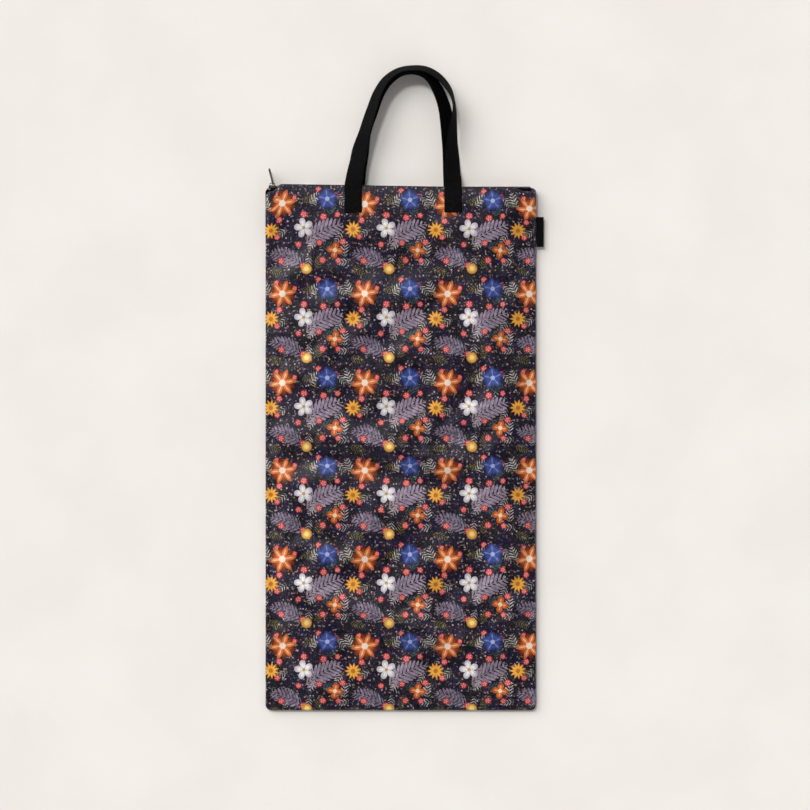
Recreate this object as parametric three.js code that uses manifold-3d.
// A large zipped wet bag of laminated cloth, lying on its back with its two webbing handles spread above the mouth.
// Two cloth walls are sewn together down both sides and along the bottom. Their hems leave a slot at the top, which
// a coil zip closes. The zip's pull is hinged on its slider. Millimetres, +X across, +Y towards the handles, +Z up.
import * as THREE from "three";
import { mergeVertices } from "three/addons/utils/BufferGeometryUtils.js";
import Module from "manifold-3d";

const wasm = await Module();
wasm.setup();

// Bag body
const bagWidth = 388;
const bagLength = 750;
const clothWall = 1;
const cornerRadius = 8;
const seamHeight = 3.4; // side and bottom seams above the floor
const edgeRound = 2.6; // how far in the cloth has turned from the seam to the face
const crown = 13; // extra height of the slack front at its middle
const clearance = 0.3;

// Mouth and zip
const zipGap = 9.6; // between the front and back hems
const zipHeight = 8.6; // middle of the zip above the floor
const mouthTaper = 7; // the hems close together over this length at each side seam
const mouthBlend = 120; // how far down the bag the open mouth still lifts the cloth
const cornerDip = 6.5; // the front hem droops by this much at both ends of the zip
const dipReach = 34; // length of hem that droops
const tapeWall = 1;
const tapeTuck = 9; // tape sewn under each hem
const coilWidth = 4.6;
const coilDepth = 2.2;

// Slider and pull
const sliderInset = 10; // middle of the slider from the side seam
const sliderLength = 10.8;
const sliderWidth = 6.4;
const plateWall = 1.1;
const plateRound = 1.92; // radius of the plates' corners
const postLength = 3;
const postWidth = 2.6;
const crownLength = 7.6; // arch on the slider that carries the pull
const crownWidth = 1.5;
const crownWall = 1;
const crownRoom = 2.7; // free height under the arch
const pullLength = 24;
const pullWidth = 5.6;
const pullWall = 1.2;
const pullBar = 1.1; // bar of the pull that lies under the arch
const pullShoulder = 3; // length over which the pull narrows past its window
const pullSlot = 4; // length of the long hole near its tip, without its round ends
const pullOffset = 1.2; // from the middle of the slider to the hinge
const pullLean = 14; // degrees from upright, towards the side seam
const pullRoll = 23; // degrees that it is turned about its own length, in the play of its eye

// Handles
const webbingWidth = 25;
const webbingWall = 1.5;
const handleSpan = 142.5;
const handleRise = 171.5;
const handleSewn = 37; // length stitched to the bag below its top edge
const handleShift = 2.6; // both handles stand a little right of the middle

// Side label
const labelLength = 43;
const labelReach = 10.7;
const labelWall = 1.4;
const labelDrop = 64; // middle of the label below the top edge
const labelDroop = 1.3;

const halfWidth = bagWidth / 2;
const topEdge = bagLength / 2;
const smooth = THREE.MathUtils.smoothstep;

// Handles. Each row places the middle of the webbing: across is a share of half the span, rise is a share of the
// handle's rise above the top edge, roll is how far its outer edge is turned down, in degrees, foot is the free height
// under that edge as a share of the webbing's width, and rest is how much of the mouth's height it still has.
const frontHandleRows = [
  { across: -0.99, rise: 0.0, roll: 0, foot: 0, rest: 1 },
  { across: -0.965, rise: 0.07, roll: 6, foot: 0.02, rest: 0.8 },
  { across: -0.935, rise: 0.14, roll: 14, foot: 0.1, rest: 0.36 },
  { across: -0.85, rise: 0.3, roll: 30, foot: 0.14, rest: 0 },
  { across: -0.752, rise: 0.467, roll: 45, foot: 0.15, rest: 0 },
  { across: -0.6, rise: 0.633, roll: 51, foot: 0.085, rest: 0 },
  { across: -0.432, rise: 0.783, roll: 56, foot: 0.08, rest: 0 },
  { across: -0.272, rise: 0.883, roll: 61, foot: 0.07, rest: 0 },
  { across: -0.052, rise: 0.951, roll: 66, foot: 0.06, rest: 0 },
  { across: 0.209, rise: 0.972, roll: 68, foot: 0.05, rest: 0 },
  { across: 0.449, rise: 0.956, roll: 70, foot: 0.04, rest: 0 },
  { across: 0.68, rise: 0.905, roll: 75, foot: 0.02, rest: 0 },
  { across: 0.901, rise: 0.816, roll: 82, foot: 0.012, rest: 0 },
  { across: 1.025, rise: 0.722, roll: 87, foot: 0.012, rest: 0 },
  { across: 1.045, rise: 0.633, roll: 76, foot: 0.012, rest: 0 },
  { across: 1.008, rise: 0.467, roll: 58, foot: 0.09, rest: 0 },
  { across: 0.993, rise: 0.3, roll: 47, foot: 0.12, rest: 0 },
  { across: 1.0, rise: 0.14, roll: 33, foot: 0.11, rest: 0.25 },
  { across: 1.012, rise: 0.07, roll: 16, foot: 0.03, rest: 0.72 },
  { across: 1.012, rise: 0.0, roll: 0, foot: 0, rest: 1 },
];
const backHandleRows = [
  { across: -0.935, rise: 0.0, roll: 0, foot: 0, rest: 0 },
  { across: -0.91, rise: 0.133, roll: 0, foot: 0, rest: 0 },
  { across: -0.848, rise: 0.3, roll: 7, foot: 0.003, rest: 0 },
  { across: -0.759, rise: 0.452, roll: 42, foot: 0.003, rest: 0 },
  { across: -0.588, rise: 0.615, roll: 50, foot: 0.003, rest: 0 },
  { across: -0.405, rise: 0.77, roll: 56, foot: 0.003, rest: 0 },
  { across: -0.24, rise: 0.868, roll: 61, foot: 0.003, rest: 0 },
  { across: -0.035, rise: 0.935, roll: 66, foot: 0.003, rest: 0 },
  { across: 0.2, rise: 0.956, roll: 67, foot: 0.003, rest: 0 },
  { across: 0.42, rise: 0.938, roll: 64, foot: 0.003, rest: 0 },
  { across: 0.575, rise: 0.888, roll: 59, foot: 0.003, rest: 0 },
  { across: 0.71, rise: 0.8, roll: 52, foot: 0.003, rest: 0 },
  { across: 0.79, rise: 0.725, roll: 46, foot: 0.003, rest: 0 },
  { across: 0.855, rise: 0.645, roll: 40, foot: 0.003, rest: 0 },
  { across: 0.92, rise: 0.467, roll: 32, foot: 0.003, rest: 0 },
  { across: 0.965, rise: 0.3, roll: 22, foot: 0.003, rest: 0 },
  { across: 0.99, rise: 0.133, roll: 5, foot: 0, rest: 0 },
  { across: 1.0, rise: 0.0, roll: 0, foot: 0, rest: 0 },
];

// Folds of the slack front: the pull below the right handle, the crease across the middle, the pinch that runs from it
// to the right side, the long sweep above the bottom, and a ridge and a dent on the left. Each row is a soft ridge
// along a bent line. from, by and to are its ends and its bend, as shares of half the bag's width and length from the
// middle. reach is a share of half the width, and lift and valley are shares of the crown.
const folds = [
  { from: [0.34, 0.86], by: [0.58, 0.6], to: [0.82, 0.14], reach: 0.105, lift: 0.24, valley: 0.16 },
  { from: [-0.94, 0.07], by: [-0.4, 0.05], to: [0.3, -0.06], reach: 0.1, lift: 0.18, valley: 0.2 },
  { from: [0.44, 0.0], by: [0.68, -0.16], to: [0.88, -0.42], reach: 0.095, lift: 0.2, valley: 0.22 },
  { from: [-0.86, -0.5], by: [-0.2, -0.66], to: [0.66, -0.76], reach: 0.11, lift: 0.22, valley: 0.14 },
  { from: [-0.9, -0.46], by: [-0.78, -0.62], to: [-0.6, -0.8], reach: 0.09, lift: 0.16, valley: 0.12 },
  { from: [-0.9, -0.26], by: [-0.7, -0.34], to: [-0.42, -0.36], reach: 0.1, lift: -0.14, valley: -0.08 },
];
const foldSteps = 10;
const foldEnd = 0.04; // share of a fold's length at each end where it has faded out
const foldFade = 0.7; // below 1, a fold keeps its height over more of its length
const troughShift = 1.6; // the trough lies this many reaches to the right of its ridge

function foldHeight(x, y) {
  let height = 0;
  for (const fold of folds) {
    const [start, bend, end] = [fold.from, fold.by, fold.to].map(
      ([across, along]) => new THREE.Vector2(across * halfWidth, along * topEdge),
    );
    const line = new THREE.QuadraticBezierCurve(start, bend, end);
    let nearest = Infinity;
    let side = 0;
    let share = 0;
    for (let k = 0; k < foldSteps; k += 1) {
      const a = line.getPoint(k / foldSteps);
      const b = line.getPoint((k + 1) / foldSteps);
      const run = b.clone().sub(a);
      const t = THREE.MathUtils.clamp(((x - a.x) * run.x + (y - a.y) * run.y) / run.lengthSq(), 0, 1);
      const away = Math.hypot(x - a.x - t * run.x, y - a.y - t * run.y);
      if (away < nearest) {
        nearest = away;
        side = Math.sign(run.x * (y - a.y) - run.y * (x - a.x));
        share = (k + t) / foldSteps;
      }
    }
    const reach = fold.reach * halfWidth;
    const fade = Math.sin(Math.PI * THREE.MathUtils.clamp(share, foldEnd, 1 - foldEnd)) ** foldFade;
    const ridge = Math.exp(-((nearest / reach) ** 2));
    const trough = side < 0 ? Math.exp(-((nearest / reach - troughShift) ** 2)) : 0;
    height += crown * fade * (fold.lift * ridge - fold.valley * trough);
  }
  return height;
}

// Heights that both walls share
const seamLevel = (y) => seamHeight + (zipHeight - seamHeight) * smooth(y, topEdge - mouthBlend, topEdge);

function mouthHalf(x, y) {
  const ends = smooth(halfWidth - Math.abs(x), 0, mouthTaper);
  return (zipGap / 2) * ends * smooth(y, topEdge - mouthBlend, topEdge);
}

// Quarter turn of the cloth at its edge: 0 at the seam, 1 once it lies in the face.
function turnIn(inset) {
  const t = THREE.MathUtils.clamp(1 - inset / edgeRound, 0, 1);
  return Math.sqrt(1 - t * t);
}

const frontRim = (x, y) => seamLevel(y) + mouthHalf(x, y) + clearance / 2;
const backRim = (x, y) => seamLevel(y) - mouthHalf(x, y) - clearance / 2;
const hemDip = (x) => cornerDip * smooth(Math.abs(x), halfWidth - dipReach, halfWidth - dipReach / 2);

function frontHeight(x, y, inset) {
  const pillow = (1 - Math.abs(x / halfWidth) ** 4) * (1 - Math.abs(y / topEdge) ** 6);
  const calm = smooth(inset, edgeRound, edgeRound + webbingWidth);
  return frontRim(x, y) + edgeRound * turnIn(inset) + crown * pillow + calm * foldHeight(x, y);
}

// The back lies on the floor, and is lifted over the two handle ends sewn under it.
const pocketLift = webbingWall + 1.5 * clearance;
const pocketSkirt = 12;
const pocketMargin = 2;
const backEnds = [backHandleRows[0], backHandleRows.at(-1)].map(
  (row) => handleShift + (row.across * handleSpan) / 2,
);

function pocketHeight(x, y) {
  const low = topEdge - handleSewn - pocketMargin;
  const along = THREE.MathUtils.clamp((y - low + pocketSkirt) / pocketSkirt, 0, 1);
  const edge = webbingWidth / 2 + pocketMargin;
  const across = Math.max(
    ...backEnds.map((middle) => THREE.MathUtils.clamp(1 - (Math.abs(x - middle) - edge) / pocketSkirt, 0, 1)),
  );
  return pocketLift * along * across;
}

function backHeight(x, y, inset) {
  const floor = pocketHeight(x, y);
  return floor + (backRim(x, y) - floor) * (1 - turnIn(inset));
}

// The grid of a wall: the four corner squares become quarter discs, so the outline has round corners.
function outline(x, y) {
  const straightX = halfWidth - cornerRadius;
  const straightY = topEdge - cornerRadius;
  const px = Math.abs(x) - straightX;
  const py = Math.abs(y) - straightY;
  if (px <= 0 || py <= 0) return { x, y, inset: Math.min(halfWidth - Math.abs(x), topEdge - Math.abs(y)) };
  const radius = Math.max(px, py);
  const turn = ((Math.PI / 4) * Math.min(px, py)) / radius;
  const angle = px >= py ? turn : Math.PI / 2 - turn;
  return {
    x: Math.sign(x) * (straightX + radius * Math.cos(angle)),
    y: Math.sign(y) * (straightY + radius * Math.sin(angle)),
    inset: cornerRadius - radius,
  };
}

const edgeStations = [0, 0.12, 0.42, 1].map((share) => share * edgeRound).concat(cornerRadius);

// Positions of grid lines from -half to half: fine at both edges, with the given inner lines between them.
function gridLines(half, inner) {
  const left = edgeStations.map((inset) => inset - half);
  const right = edgeStations.map((inset) => half - inset).reverse();
  return [...left, ...inner.filter((v) => Math.abs(v) < half - cornerRadius - 1), ...right];
}

const evenly = (half, count) => {
  const reach = half - cornerRadius;
  return Array.from({ length: count - 1 }, (_, k) => -reach + (2 * reach * (k + 1)) / count);
};

// A closed sheet from two equal grids of points, the outer face first.
function closedSheet(outer, inner) {
  const columns = outer.length;
  const rows = outer[0].length;
  const points = [...outer.flat(), ...inner.flat()];
  const shift = columns * rows;
  const at = (i, j) => i * rows + j;
  const index = [];
  const quad = (a, b, c, d) => index.push(a, b, c, a, c, d);
  for (let i = 0; i < columns - 1; i += 1) {
    for (let j = 0; j < rows - 1; j += 1) {
      quad(at(i, j), at(i + 1, j), at(i + 1, j + 1), at(i, j + 1));
      quad(shift + at(i, j), shift + at(i, j + 1), shift + at(i + 1, j + 1), shift + at(i + 1, j));
    }
  }
  const rim = (a, b) => quad(a, shift + a, shift + b, b);
  for (let i = 0; i < columns - 1; i += 1) {
    rim(at(i, 0), at(i + 1, 0));
    rim(at(i + 1, rows - 1), at(i, rows - 1));
  }
  for (let j = 0; j < rows - 1; j += 1) {
    rim(at(columns - 1, j), at(columns - 1, j + 1));
    rim(at(0, j + 1), at(0, j));
  }
  const geometry = new THREE.BufferGeometry().setFromPoints(points);
  geometry.setIndex(index);
  return geometry;
}

// A point at a depth inside a wall's outer face, which place gives. The cloth stands upright at its seam.
const probe = 0.05;

function inside(place, x, y, depth) {
  const here = place(x, y);
  const inX = x > 0 ? -probe : probe;
  const inY = y > 0 ? -probe : probe;
  const alongX = place(x + inX, y).sub(here).multiplyScalar(Math.sign(inX));
  const alongY = place(x, y + inY).sub(here).multiplyScalar(Math.sign(inY));
  const normal = alongX.cross(alongY).normalize();
  if (Math.abs(x) === halfWidth || Math.abs(y) === topEdge) normal.setZ(0).normalize();
  return here.addScaledVector(normal, place === frontPoint ? -depth : depth);
}

function clothWallSheet(xs, ys, place) {
  const [outer, inner] = [0, clothWall].map((depth) => xs.map((x) => ys.map((y) => inside(place, x, y, depth))));
  return place === frontPoint ? closedSheet(outer, inner) : closedSheet(inner, outer);
}

function frontPoint(x, y) {
  const p = outline(x, y);
  const height = frontHeight(p.x, p.y, p.inset);
  const droop = hemDip(p.x) * smooth(p.y, topEdge - 2 * dipReach, topEdge);
  return new THREE.Vector3(p.x, p.y - droop, height);
}

function backPoint(x, y) {
  const p = outline(x, y);
  return new THREE.Vector3(p.x, p.y, backHeight(p.x, p.y, p.inset));
}

const frontColumns = 20;
const frontRows = 36;
const dipLines = [-1, 1].flatMap((side) => [0.5, 0.66, 0.83].map((share) => side * (halfWidth - share * dipReach)));
const frontXs = gridLines(halfWidth, [...evenly(halfWidth, frontColumns), ...dipLines].sort((a, b) => a - b));
const tapeReach = edgeRound + clothWall + 1.5 * clearance + tapeWall / 2 + tapeTuck;
const frontYs = gridLines(topEdge, [...evenly(topEdge, frontRows), topEdge - tapeReach]);

const pocketEdge = webbingWidth / 2 + pocketMargin;
const backInnerXs = backEnds.flatMap((middle) => [
  middle - pocketEdge - pocketSkirt,
  middle - pocketEdge,
  middle + pocketEdge,
  middle + pocketEdge + pocketSkirt,
]);
const pocketLow = topEdge - handleSewn - pocketMargin;
const backXs = gridLines(halfWidth, [-0.8 * halfWidth, ...backInnerXs, 0.8 * halfWidth].sort((a, b) => a - b));
const backYs = gridLines(
  topEdge,
  [
    ...evenly(topEdge, 8).filter((y) => y < topEdge - mouthBlend),
    ...frontYs.filter((y) => y > topEdge - mouthBlend - bagLength / frontRows),
    pocketLow - pocketSkirt,
    pocketLow,
  ].sort((a, b) => a - b),
);

// Zip tapes: each stands behind the coil, passes under its hem and is sewn to the inside of the cloth.
const seat = clothWall + 1.5 * clearance + tapeWall / 2;
const tapeY = topEdge - seat;
const tapeHalf = halfWidth - cornerRadius;

function tapeSection(x, place) {
  const facing = place === frontPoint ? 1 : -1;
  const hem = place(x, topEdge);
  const mouth = outline(x, topEdge);
  const under = clearance + tapeWall / 2 + clearance / 3;
  const turn = Math.min(sliderWidth / 2 + clearance + tapeWall / 2, Math.abs(hem.z - zipHeight) - under);
  return [
    new THREE.Vector3(mouth.x, mouth.y - seat, zipHeight + (facing * clearance) / 2),
    new THREE.Vector3(mouth.x, mouth.y - seat, zipHeight + facing * turn),
    new THREE.Vector3(mouth.x, hem.y - seat, hem.z - facing * under),
    ...[edgeStations[2], edgeRound, cornerRadius, tapeReach].map((inset) =>
      inside(place, x, topEdge - inset, seat),
    ),
  ];
}

function tapeSheet(xs, place) {
  const faces = [[], []];
  for (const x of xs.filter((value) => Math.abs(value) <= tapeHalf)) {
    const line = tapeSection(x, place);
    const sides = [[], []];
    line.forEach((p, i) => {
      const before = line[Math.max(i - 1, 0)];
      const after = line[Math.min(i + 1, line.length - 1)];
      const out = new THREE.Vector3(0, after.z - before.z, before.y - after.y).setLength(tapeWall / 2);
      sides[0].push(p.clone().add(out));
      sides[1].push(p.clone().sub(out));
    });
    faces[0].push(sides[0]);
    faces[1].push(sides[1]);
  }
  return closedSheet(faces[1], faces[0]);
}

// A solid drawn in the y-z plane and run along x, for what has one section all along the zip.
function alongZip(shape, from, to) {
  const geometry = new THREE.ExtrudeGeometry(shape, { depth: to - from, bevelEnabled: false });
  const turn = new THREE.Matrix4().makeBasis(
    new THREE.Vector3(0, 1, 0),
    new THREE.Vector3(0, 0, 1),
    new THREE.Vector3(1, 0, 0),
  );
  return geometry.applyMatrix4(turn).translate(from, 0, 0);
}

const sliderX = sliderInset - halfWidth;
const postX = sliderX - sliderLength / 2 + postLength / 2;

// The zip's coil is closed, so its two rows of teeth lie side by side: one half-round bar on each tape.
const coilBack = tapeY + tapeWall / 2 + clearance;
const coilFront = coilBack + coilDepth;

function coilRow(facing) {
  const near = zipHeight + (facing * clearance) / 2;
  const far = zipHeight + (facing * coilWidth) / 2;
  const shape = new THREE.Shape();
  shape.moveTo(coilBack, near);
  shape.lineTo(coilBack, far);
  shape.lineTo(coilBack + coilDepth * 0.45, far);
  shape.quadraticCurveTo(coilFront, far, coilFront, near);
  return alongZip(shape, postX + postLength / 2 + clearance, tapeHalf);
}

// Slider: an outer plate with two flanges round the coil, an inner plate behind the tapes, the post that joins them
// past the end of the coil, and the arch that carries the pull.
const toSolid = (geometry) => {
  const bare = geometry.clone();
  bare.deleteAttribute("normal");
  bare.deleteAttribute("uv");
  const merged = mergeVertices(bare, 1e-4);
  return new wasm.Manifold(
    new wasm.Mesh({
      numProp: 3,
      vertProperties: merged.attributes.position.array,
      triVerts: new Uint32Array(merged.index.array),
    }),
  );
};

const toGeometry = (solid) => {
  const mesh = solid.getMesh();
  const geometry = new THREE.BufferGeometry();
  geometry.setAttribute("position", new THREE.BufferAttribute(mesh.vertProperties, mesh.numProp));
  geometry.setIndex(new THREE.BufferAttribute(mesh.triVerts, 1));
  return geometry;
};

const plateFoot = coilFront + clearance;
const plateTop = plateFoot + plateWall;

// An oblong with round ends, drawn about the origin.
function oblong(length, width, radius) {
  const a = length / 2;
  const b = width / 2;
  const shape = new THREE.Shape();
  shape.moveTo(-a + radius, -b);
  shape.lineTo(a - radius, -b);
  shape.absarc(a - radius, -b + radius, radius, -Math.PI / 2, 0, false);
  shape.absarc(a - radius, b - radius, radius, 0, Math.PI / 2, false);
  shape.absarc(-a + radius, b - radius, radius, Math.PI / 2, Math.PI, false);
  shape.absarc(-a + radius, -b + radius, radius, Math.PI, (3 * Math.PI) / 2, false);
  return shape;
}

// A plate seen from the handles' side: its outline lies in x-z and its thickness runs along +Y from foot.
function plateOf(shape, wall, foot) {
  const geometry = new THREE.ExtrudeGeometry(shape, { depth: wall, bevelEnabled: false, curveSegments: 4 });
  return geometry.rotateX(Math.PI / 2).translate(0, foot + wall, 0);
}

function sliderGeometry() {
  const plateShape = oblong(sliderLength, sliderWidth, plateRound);
  const plate = plateOf(plateShape, plateWall, plateFoot);
  const innerTop = tapeY - tapeWall / 2 - clearance;
  const innerPlate = plateOf(plateShape, plateWall, innerTop - plateWall);
  const flangeWall = sliderWidth / 2 - coilWidth / 2 - clearance;
  const flangeLength = sliderLength - 2 * plateRound;
  const flangeDepth = plateFoot - coilBack + plateWall / 2;
  const flanges = [-1, 1].map((side) =>
    new THREE.BoxGeometry(flangeLength, flangeDepth, flangeWall).translate(
      0,
      coilBack + flangeDepth / 2,
      (side * (sliderWidth - flangeWall)) / 2,
    ),
  );
  const postDepth = plateTop - plateWall / 2 - (innerTop - plateWall / 2);
  const post = new THREE.BoxGeometry(postLength, postDepth, postWidth).translate(
    postX - sliderX,
    innerTop - plateWall / 2 + postDepth / 2,
    0,
  );
  const arch = new THREE.Shape();
  const half = crownLength / 2;
  const rise = crownRoom + crownWall;
  arch.moveTo(half, -plateWall / 2);
  arch.lineTo(half, rise * 0.5);
  arch.quadraticCurveTo(half, rise, half - rise * 0.6, rise);
  arch.lineTo(-half + rise * 0.6, rise);
  arch.quadraticCurveTo(-half, rise, -half, rise * 0.5);
  arch.lineTo(-half, -plateWall / 2);
  arch.lineTo(-half + crownWall, -plateWall / 2);
  arch.lineTo(-half + crownWall, crownRoom * 0.6);
  arch.quadraticCurveTo(-half + crownWall, crownRoom, -half + crownWall + crownRoom * 0.4, crownRoom);
  arch.lineTo(half - crownWall - crownRoom * 0.4, crownRoom);
  arch.quadraticCurveTo(half - crownWall, crownRoom, half - crownWall, crownRoom * 0.6);
  arch.lineTo(half - crownWall, -plateWall / 2);
  const bridge = new THREE.ExtrudeGeometry(arch, { depth: crownWidth, bevelEnabled: false, curveSegments: 4 });
  bridge.translate(0, plateTop, -crownWidth / 2);
  const pieces = [plate, innerPlate, ...flanges, post, bridge].map(toSolid);
  return toGeometry(pieces.reduce((whole, piece) => whole.add(piece)));
}

// Pull: a tapered plate with a window round the slider's arch and a long hole near its tip. It is drawn along +X from
// its hinge, with its width along Z.
const hingeX = sliderX + pullOffset;
const hingeY = plateTop + crownRoom / 2;

function pullGeometry() {
  const tip = pullWidth * 0.5;
  const waist = pullWidth * 0.4;
  const window = crownLength / 2 + 1 + clearance * 2;
  const shape = new THREE.Shape();
  shape.moveTo(-pullBar / 2, 0);
  shape.quadraticCurveTo(-pullBar / 2, -pullWidth / 2, pullWidth * 0.4, -pullWidth / 2);
  shape.lineTo(window, -pullWidth / 2);
  shape.lineTo(window + pullShoulder, -waist);
  shape.lineTo(pullLength - tip, -tip);
  shape.absarc(pullLength - tip, 0, tip, -Math.PI / 2, Math.PI / 2, false);
  shape.lineTo(window + pullShoulder, waist);
  shape.lineTo(window, pullWidth / 2);
  shape.lineTo(pullWidth * 0.4, pullWidth / 2);
  shape.quadraticCurveTo(-pullBar / 2, pullWidth / 2, -pullBar / 2, 0);
  const room = crownWidth / 2 + 2 * clearance;
  const eye = new THREE.Path();
  eye.moveTo(pullBar / 2, -room);
  eye.lineTo(pullBar / 2, room);
  eye.lineTo(window, room);
  eye.lineTo(window, -room);
  shape.holes.push(eye);
  const slot = new THREE.Path();
  const slotEnd = pullLength - tip;
  const slotHalf = tip * 0.5;
  slot.absarc(slotEnd, 0, slotHalf, -Math.PI / 2, Math.PI / 2, false);
  slot.absarc(slotEnd - pullSlot, 0, slotHalf, Math.PI / 2, (3 * Math.PI) / 2, false);
  shape.holes.push(slot);
  const geometry = new THREE.ExtrudeGeometry(shape, { depth: pullWall, bevelEnabled: false, curveSegments: 5 });
  return geometry.translate(0, 0, -pullWall / 2).rotateX(THREE.MathUtils.degToRad(90 + pullRoll));
}

const handleStations = 46;
const acrossPoints = 3;
const stepAlong = 0.002; // share of the strap's length, and of its width, over which its slope is taken
const stepAcross = 0.02;
const mouthLine = topEdge - edgeRound;

// Middle of webbing that lies on the front cloth.
const onFront = (x, y) => frontHeight(x, y, topEdge - y) + clearance + webbingWall / 2;

// Both edges of the webbing at every row, with a straight sewn stretch added before the first and after the last.
function handleEdges(rows, restLevel) {
  const centre = (row) =>
    new THREE.Vector2(handleShift + (row.across * handleSpan) / 2, topEdge + row.rise * handleRise);
  const placed = rows.map((row, i) => {
    const here = centre(row);
    const run = centre(rows[Math.min(i + 1, rows.length - 1)]).sub(centre(rows[Math.max(i - 1, 0)])).normalize();
    const roll = THREE.MathUtils.degToRad(row.roll);
    const outward = new THREE.Vector3(-run.y, run.x, 0).multiplyScalar(Math.cos(roll));
    const toOuter = outward.setZ(-Math.sin(roll)).multiplyScalar(webbingWidth / 2);
    const level = row.rest * restLevel + (1 - row.rest) * (webbingWall / 2) * Math.cos(roll);
    const height = level + row.foot * webbingWidth + (webbingWidth / 2) * Math.sin(roll);
    const middle = new THREE.Vector3(here.x, here.y, height);
    return [middle.clone().add(toOuter), middle.clone().sub(toOuter)];
  });
  const sewn = (pair, drop) => pair.map((p) => new THREE.Vector3(p.x, topEdge - drop, p.z));
  const first = placed[0].map((p, k) => p.setX(centre(rows[0]).x + (k === 0 ? -1 : 1) * (webbingWidth / 2)));
  const last = placed.at(-1).map((p, k) => p.setX(centre(rows.at(-1)).x + (k === 0 ? 1 : -1) * (webbingWidth / 2)));
  const down = [handleSewn, (2 * handleSewn) / 3, handleSewn / 3];
  const all = [...down.map((d) => sewn(first, d)), ...placed, ...down.reverse().map((d) => sewn(last, d))];
  return [0, 1].map((k) => new THREE.CatmullRomCurve3(all.map((pair) => pair[k]), false, "centripetal"));
}

// A strap of even thickness between its two edge lines. settle moves a point of the middle to where it really lies.
function strap(edges, settle) {
  const middleAt = (t, s) => {
    const a = edges[0].getPoint(t);
    const b = edges[1].getPoint(t);
    return settle(a.lerp(b, s));
  };
  const faces = [[], []];
  for (let i = 0; i <= handleStations; i += 1) {
    const t = i / handleStations;
    const sides = [[], []];
    for (let j = 0; j < acrossPoints; j += 1) {
      const s = j / (acrossPoints - 1);
      const here = middleAt(t, s);
      const along = middleAt(Math.min(t + stepAlong, 1), s).sub(middleAt(Math.max(t - stepAlong, 0), s));
      const across = middleAt(t, Math.min(s + stepAcross, 1)).sub(middleAt(t, Math.max(s - stepAcross, 0)));
      const normal = along.cross(across).normalize();
      sides[0].push(here.clone().addScaledVector(normal, webbingWall / 2));
      sides[1].push(here.clone().addScaledVector(normal, -webbingWall / 2));
    }
    faces[0].push(sides[0]);
    faces[1].push(sides[1]);
  }
  return closedSheet(faces[0], faces[1]);
}

const mouthLevel = onFront(handleShift - handleSpan / 2, mouthLine);
const frontStrap = strap(handleEdges(frontHandleRows, mouthLevel), (p) =>
  p.y < mouthLine ? p.setZ(onFront(p.x, p.y)) : p,
);
const backStrap = strap(handleEdges(backHandleRows, 0), (p) => p.setZ(Math.max(p.z, webbingWall / 2)));

// Side label: a ribbon folded in half, its ends caught in the side seam.
function labelGeometry() {
  const half = labelWall / 2;
  const inner = halfWidth + clearance;
  const outer = inner + labelReach;
  const root = seamLevel(topEdge - labelDrop);
  const shape = new THREE.Shape();
  shape.moveTo(inner, root - half);
  shape.quadraticCurveTo(inner + labelReach * 0.6, root - half, outer - half, root - half - labelDroop);
  shape.quadraticCurveTo(outer, root - half - labelDroop, outer, root - labelDroop);
  shape.quadraticCurveTo(outer, root + half - labelDroop, outer - half, root + half - labelDroop);
  shape.quadraticCurveTo(inner + labelReach * 0.6, root + half, inner, root + half);
  const geometry = new THREE.ExtrudeGeometry(shape, { depth: labelLength, bevelEnabled: false, curveSegments: 5 });
  return geometry.rotateX(Math.PI / 2).translate(0, topEdge - labelDrop + labelLength / 2, 0);
}

// Materials
const cloth = new THREE.MeshStandardMaterial({ color: 0x241c30, roughness: 0.55, metalness: 0 });
const lining = new THREE.MeshStandardMaterial({ color: 0x241c30, roughness: 0.6, metalness: 0 });
const webbing = new THREE.MeshStandardMaterial({ color: 0x101012, roughness: 0.7, metalness: 0 });
const tape = new THREE.MeshStandardMaterial({ color: 0x141318, roughness: 0.8, metalness: 0 });
const coil = new THREE.MeshStandardMaterial({ color: 0x1a191e, roughness: 0.4, metalness: 0 });
const gunmetal = new THREE.MeshStandardMaterial({ color: 0x3a3833, roughness: 0.35, metalness: 1 });
const ribbon = new THREE.MeshStandardMaterial({ color: 0x121214, roughness: 0.6, metalness: 0 });

const bag = new THREE.Group();

function add(name, geometry, material, parent = bag) {
  const mesh = new THREE.Mesh(geometry, material);
  mesh.name = name;
  parent.add(mesh);
  return mesh;
}

add("front_panel", clothWallSheet(frontXs, frontYs, frontPoint), cloth);
add("back_panel", clothWallSheet(backXs, backYs, backPoint), lining);
add("zip_tape_front", tapeSheet(frontXs, frontPoint), tape);
add("zip_tape_back", tapeSheet(backXs, backPoint), tape);
add("zip_coil_front", coilRow(1), coil);
add("zip_coil_back", coilRow(-1), coil);
add("zip_slider", sliderGeometry(), gunmetal).position.set(sliderX, 0, zipHeight);
const pull = add("zip_pull", pullGeometry(), gunmetal);
pull.position.set(hingeX, hingeY, zipHeight);
pull.rotation.z = THREE.MathUtils.degToRad(90 + pullLean);
add("front_handle", frontStrap, webbing);
add("back_handle", backStrap, webbing);
add("side_label", labelGeometry(), ribbon);

// The origin is under the middle of everything, on the surface that the bag lies on.
bag.updateMatrixWorld(true);
const whole = new THREE.Box3().setFromObject(bag);
const middle = whole.getCenter(new THREE.Vector3());
bag.position.set(-middle.x, -middle.y, -whole.min.z);

export default bag;
